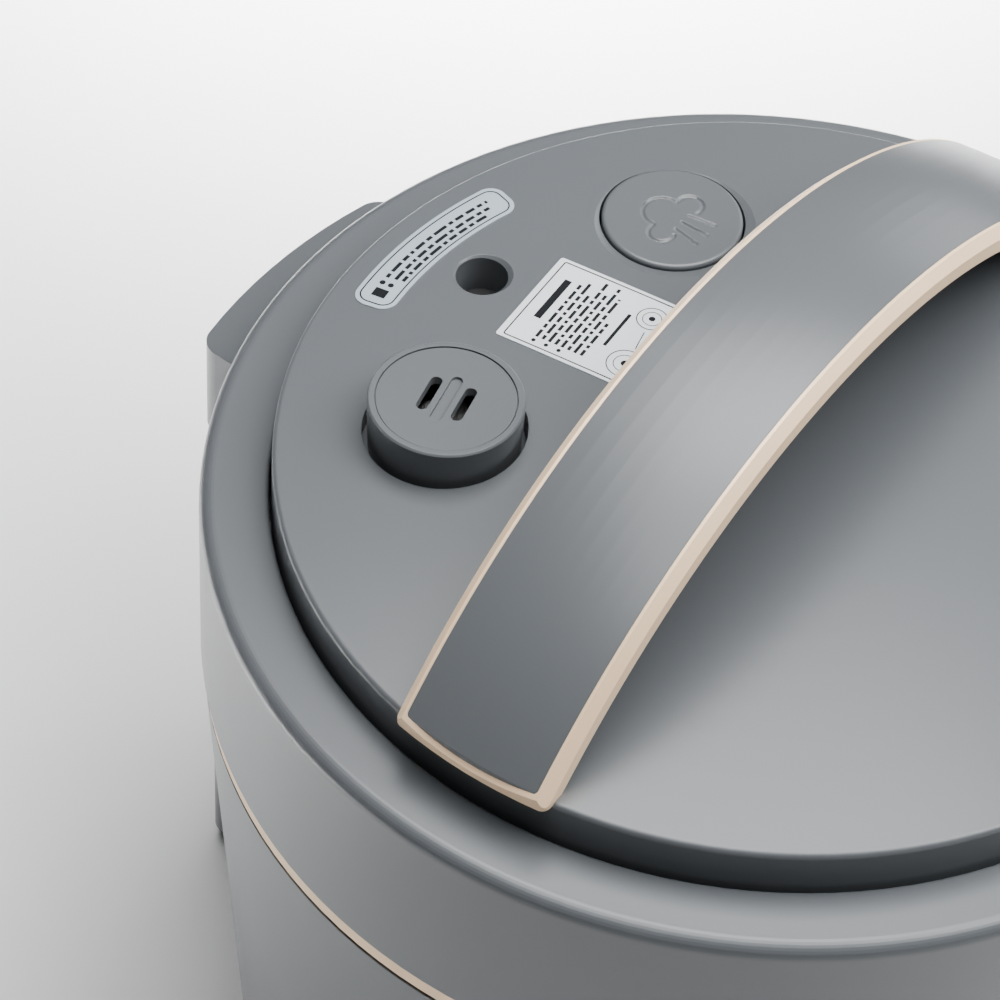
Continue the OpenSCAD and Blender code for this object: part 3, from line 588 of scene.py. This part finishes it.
def make_panel_print(pale):
    """Thin rings round the keys, a frame round the window and rows of plain dashes."""
    art = Print(panel_place(0.03))
    low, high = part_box("display_window")
    margin, ring_step, dash_step = 2.4, math.radians(9) * 142.0, 22.3
    half = high.x / MM + margin
    frame_low, frame_high = (-half, low.z / MM - margin), (half, high.z / MM + margin)
    art.line(rounded_path(frame_low, frame_high, 3), 0.35, closed=True)
    for i in range(-2, 3):
        art.ring(ring_step * i, 78.0, 9.4, 0.35)
    for u in (dash_step * i for i in range(-2, 3)):
        art.words(u - 5, u + 5, 92.0, 0.9, (4.2, 2.6, 3.0), 1.0)
        art.words(u - 4, u + 4, 62.5, 0.7, (3.0, 4.2), 0.9)
    for i in range(2):
        for k in range(4):
            art.words(-30 + 17 * k, -19 + 17 * k, 102.0 - 4.5 * i, 0.9, (5.0, 3.2, 4.0), 1.0)
    art.finish("panel_print", pale, "base", "black_plastic")


def make_key_signs(ink):
    """Own plain signs on the keys: a triangle, a square, three bars, a plus and a minus."""
    signs = {
        "start_key": ("start", "triangle"), "cancel_key": ("cancel", "square"),
        "menu_key": ("menu", "bars"), "plus_key": ("plus", "plus"), "minus_key": ("minus", "minus"),
    }
    tilt = math.atan(PANEL_TAPER)
    for node, (body, sign) in signs.items():
        centre = middle(node)
        a = math.atan2(centre.x, -centre.y)
        out = Vector((math.sin(a) * math.cos(tilt), -math.cos(a) * math.cos(tilt), -math.sin(tilt)))
        side = Vector((math.cos(a), math.sin(a), 0))
        rise = side.cross(-out)
        reach = max((Vector(v.co) - centre).dot(out) for v in NODES[node].data.vertices)
        face = centre + out * (reach + 0.03 * MM)
        art = Print(lambda u, v: tuple(face + side * u * MM + rise * v * MM))
        if sign == "triangle":
            art.quad([(-2.2, -3), (3.2, 0), (-2.2, 3)])
        elif sign == "square":
            art.line([(-2.4, -2.4), (2.4, -2.4), (2.4, 2.4), (-2.4, 2.4)], 0.9, closed=True)
        elif sign == "bars":
            for v in (-2.4, 0, 2.4):
                art.bar(-3.2, 3.2, v, 0.9)
        else:
            art.bar(-3.2, 3.2, 0, 1.1)
            if sign == "plus":
                art.quad([(-0.55, -3.2), (0.55, -3.2), (0.55, 3.2), (-0.55, 3.2)])
        art.finish(node + "_sign", ink, body, "key")


def make_pot_marks(ink):
    """Level strokes and rings on the pot's inner wall."""
    radius = 110.75

    def place(u, v):
        a = math.radians(20) + u / radius
        return (radius * math.cos(a) * MM, radius * math.sin(a) * MM, v * MM)

    art = Print(place)
    for i in range(9):
        v = 100 + 12 * i
        art.bar(0, 7.0 if i % 2 else 12.0, v, 0.5)
        if i % 2 == 0:
            art.ring(16.5, v, 1.5, 0.4, 20)
    art.bar(-2.0, -1.4, 148, 96, 1.0)
    art.finish("pot_level_marks", ink, "pot", "steel")


def make_screw_crosses(dark):
    """Thin dark crosses on the screw heads that face down: painted shade of their cross hollows."""
    for node, body in (("base_screws", "base"), ("lid_screws", "lid")):
        heads = {}
        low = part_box(node)[0].z
        for vertex in NODES[node].data.vertices:
            if vertex.co.z < low + 0.1 * MM:
                heads.setdefault((vertex.co.x > 0, vertex.co.y > 0), []).append(vertex.co)
        points, faces = [], []
        for group in heads.values():
            x = (min(c.x for c in group) + max(c.x for c in group)) / 2
            y = (min(c.y for c in group) + max(c.y for c in group)) / 2
            art = Print(lambda u, v, x=x, y=y: (x + u * MM, y - v * MM, low - 0.02 * MM))
            art.quad([(-2.1, -0.4), (2.1, -0.4), (2.1, 0.4), (-2.1, 0.4)])
            art.quad([(-0.4, -2.1), (0.4, -2.1), (0.4, 2.1), (-0.4, 2.1)])
            faces += [tuple(i + len(points) for i in f) for f in art.faces]
            points += art.points
        add_piece(node + "_painted_recess_shade", points, faces, dark, body)


def make_floor():
    """A wide sheet of pale paper under the cooker."""
    size = 3.0
    mesh = bpy.data.meshes.new("floor")
    corners = [(-size, -size, 0), (size, -size, 0), (size, size, 0), (-size, size, 0)]
    mesh.from_pydata(corners, [], [(0, 1, 2, 3)])
    floor = bpy.data.objects.new("floor", mesh)
    bpy.context.scene.collection.objects.link(floor)
    mesh.materials.append(moulded("floor_paper", (0.93, 0.93, 0.93), 0.8, vary=0.01, rounding=0))


make_camera()
make_lights()
MATERIALS = make_materials()
dress_nodes(MATERIALS)
make_square_print(MATERIALS["ink"])
make_arc_print(MATERIALS["ink"])
make_button(MATERIALS["grey_shell"])
make_display(MATERIALS["glow"])
make_panel_print(MATERIALS["pale_ink"])
make_key_signs(MATERIALS["ink"])
make_pot_marks(MATERIALS["ink"])
# The dark rubber finish serves here as painted shade of the screw heads' cross hollows.
make_screw_crosses(MATERIALS["rubber"])
make_floor()
